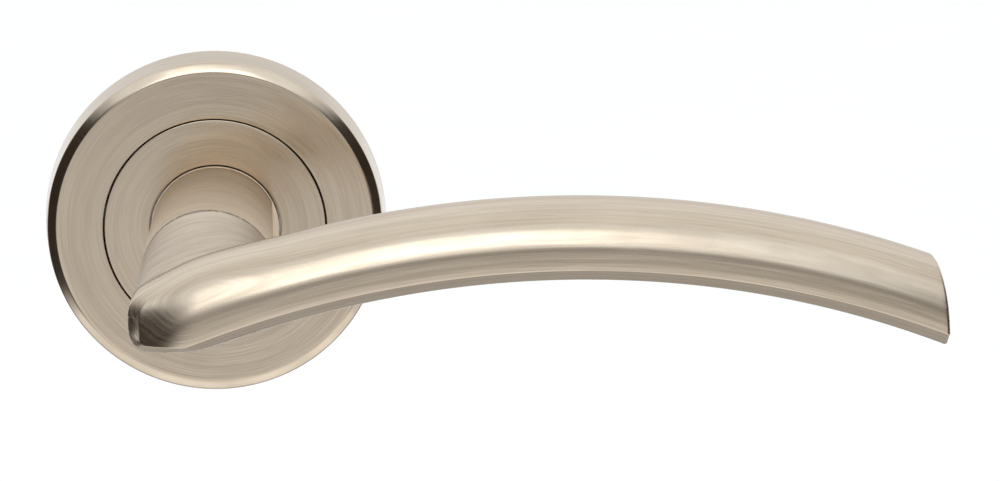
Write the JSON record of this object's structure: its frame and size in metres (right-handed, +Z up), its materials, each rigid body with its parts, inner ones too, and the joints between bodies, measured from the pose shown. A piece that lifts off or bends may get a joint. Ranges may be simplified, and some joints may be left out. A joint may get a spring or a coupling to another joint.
{
  "type": "door lever handle",
  "caption": "Arched door lever handle on a round rose with concealed fixings, return spring cassette and square through spindle.",
  "frame": {"origin": "on the spindle axis, in the plane of the door face", "axes": "+Y into the door along the spindle, +X along the lever towards its tip, +Z up"},
  "size_m": [0.1245, 0.134, 0.052],
  "materials": {
    "satin_nickel": "warm satin nickel, brushed",
    "zinc_casting": "raw zinc die casting",
    "screw_steel": "zinc plated steel",
    "pin_steel": "bright turned steel",
    "spring_steel": "oil tempered spring steel",
    "black_steel": "black oxide steel",
    "spindle_steel": "bright zinc plated square bar",
    "nylon": "natural nylon",
    "rubber": "black nitrile rubber"
  },
  "bodies": {
    "rose": {"base_plate": "zinc_casting", "inner_disc": "satin_nickel", "cassette_screws": "screw_steel", "neck_bush": "nylon", "front_washer": "nylon", "stop_pins": "pin_steel", "spring_anchor": "pin_steel", "return_spring": "spring_steel", "grip_ring": "rubber", "wood_screws": "screw_steel"},
    "cover": {"cover_ring": "satin_nickel"},
    "lever": {"lever_arm": "satin_nickel", "neck_sleeve": "satin_nickel", "neck_stud": "screw_steel", "grub_screw": "black_steel", "spindle": "spindle_steel", "drive_cam": "pin_steel", "rear_washer": "pin_steel", "disc_spring": "spring_steel", "circlip": "spring_steel"}
  },
  "joints": [
    {"name": "lever_turn", "type": "hinge", "parent": "rose", "child": "lever", "pos_m": [0, 0, 0], "axis": [0, 1, 0], "range_deg": [0, 45], "stiffness_Nm_per_rad": 0.8, "springref_deg": -28.65, "deforming": ["return_spring"]},
    {"name": "cover_slide", "type": "slide", "parent": "rose", "child": "cover", "axis": [0, -1, 0], "range_m": [0, 0.02]}
  ]
}
